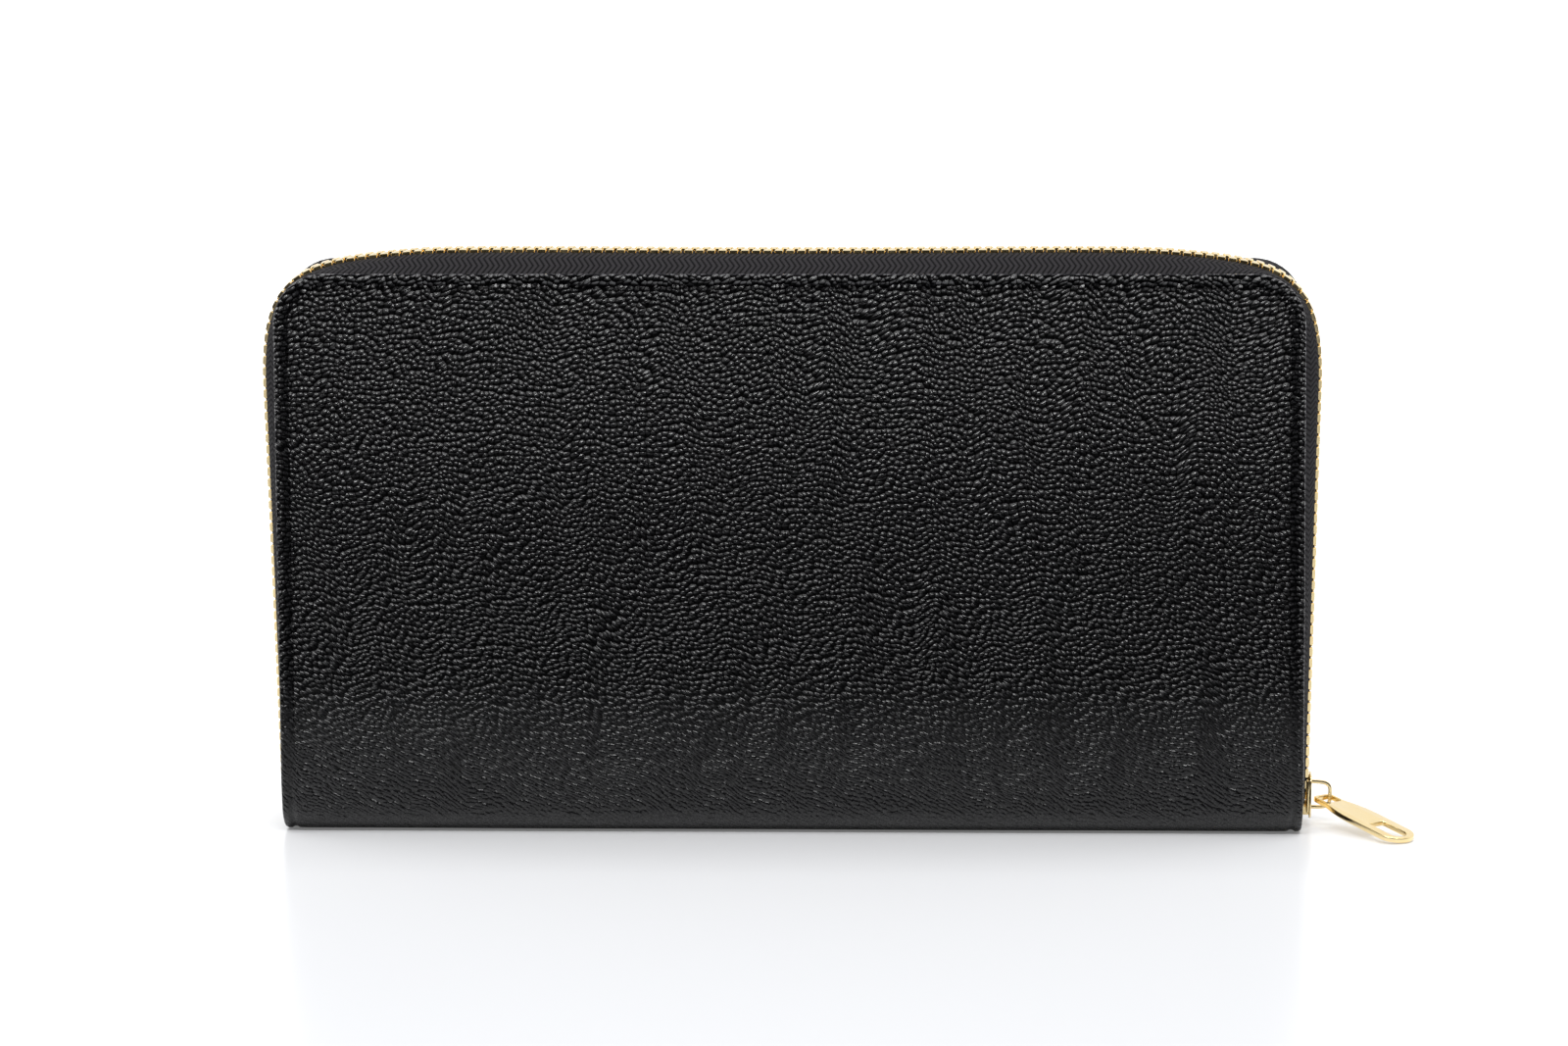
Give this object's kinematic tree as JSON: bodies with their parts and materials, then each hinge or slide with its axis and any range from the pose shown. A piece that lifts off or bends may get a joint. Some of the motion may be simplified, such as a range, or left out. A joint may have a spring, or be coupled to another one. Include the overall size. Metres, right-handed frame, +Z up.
{
  "type": "zip around wallet",
  "caption": "Black grained leather travel wallet standing on its spine, closed by a gold metal zip round three sides, with card pockets, bill sections and a coin pocket inside.",
  "frame": {"origin": "centre of the flat underside of the spine, which the wallet stands on", "axes": "+X along the wallet's width towards the slider, -Y out of the front cover, +Z up from the spine"},
  "size_m": [0.2175, 0.032, 0.1102],
  "materials": {
    "grained_leather": "grained, satin",
    "smooth_leather": "fine grain, satin",
    "board": "matte fibre board",
    "zip_tape": "herringbone weave",
    "lining": "woven, matte",
    "gold_metal": "polished gold plate"
  },
  "bodies": {
    "wallet_body": {"coin_pocket": "lining", "coin_pocket_binding_left": "smooth_leather", "coin_pocket_binding_right": "smooth_leather", "coin_zip_stop_left": "gold_metal", "coin_zip_stop_right": "gold_metal", "coin_zip_tape_back": "zip_tape", "coin_zip_tape_front": "zip_tape", "coin_zip_teeth_back": "gold_metal", "coin_zip_teeth_front": "gold_metal", "gusset_back_left": "smooth_leather", "gusset_back_right": "smooth_leather", "gusset_front_left": "smooth_leather", "gusset_front_right": "smooth_leather", "spine_leather": "grained_leather", "spine_lining": "lining", "spine_stiffener": "board"},
    "front_cover": {"front_card_pocket_bottom": "smooth_leather", "front_card_pocket_middle": "smooth_leather", "front_card_pocket_top": "smooth_leather", "front_cover_leather": "grained_leather", "front_lining_panel": "lining", "front_stiffener_board": "board", "front_zip_stop_left": "gold_metal", "front_zip_stop_right": "gold_metal", "front_zip_tape": "zip_tape", "front_zip_teeth": "gold_metal"},
    "back_cover": {"back_card_pocket_bottom": "smooth_leather", "back_card_pocket_middle": "smooth_leather", "back_card_pocket_top": "smooth_leather", "back_cover_leather": "grained_leather", "back_lining_panel": "lining", "back_stiffener_board": "board", "back_zip_stop_left": "gold_metal", "back_zip_stop_right": "gold_metal", "back_zip_tape": "zip_tape", "back_zip_teeth": "gold_metal"},
    "slider": {"zip_slider": "gold_metal"},
    "pull_tab": {"zip_pull_tab": "gold_metal"},
    "coin_zip_slider": {"coin_slider": "gold_metal"},
    "coin_zip_pull": {"coin_pull_tab": "gold_metal"}
  },
  "joints": [
    {"name": "front_cover_hinge", "type": "hinge", "parent": "wallet_body", "child": "front_cover", "pos_m": [0, -0.0125, 0.00585], "axis": [1, 0, 0], "range_deg": [0, 35], "deforming": ["front_zip_tape", "front_zip_teeth", "gusset_front_left", "gusset_front_right"]},
    {"name": "back_cover_hinge", "type": "hinge", "parent": "wallet_body", "child": "back_cover", "pos_m": [0, 0.0125, 0.00585], "axis": [-1, 0, 0], "range_deg": [0, 35], "deforming": ["back_zip_tape", "back_zip_teeth", "gusset_back_left", "gusset_back_right"]},
    {"name": "zip_slide", "type": "slide", "parent": "back_cover", "child": "slider", "axis": [0.0279, 0, 0.9996], "range_m": [0, 0.07]},
    {"name": "pull_tab_hinge", "type": "hinge", "parent": "slider", "child": "pull_tab", "pos_m": [0.10051, 0, 0.0049], "axis": [0.766, 0.6428, 0], "range_deg": [-85, 60]},
    {"name": "coin_zip_slide", "type": "slide", "parent": "wallet_body", "child": "coin_zip_slider", "axis": [1, 0, 0], "range_m": [-0.145, 0], "deforming": ["coin_zip_teeth_front", "coin_zip_teeth_back"]},
    {"name": "coin_pull_hinge", "type": "hinge", "parent": "coin_zip_slider", "child": "coin_zip_pull", "pos_m": [0.0745, 0, 0.08635], "axis": [0, 1, 0], "range_deg": [0, 165]}
  ]
}
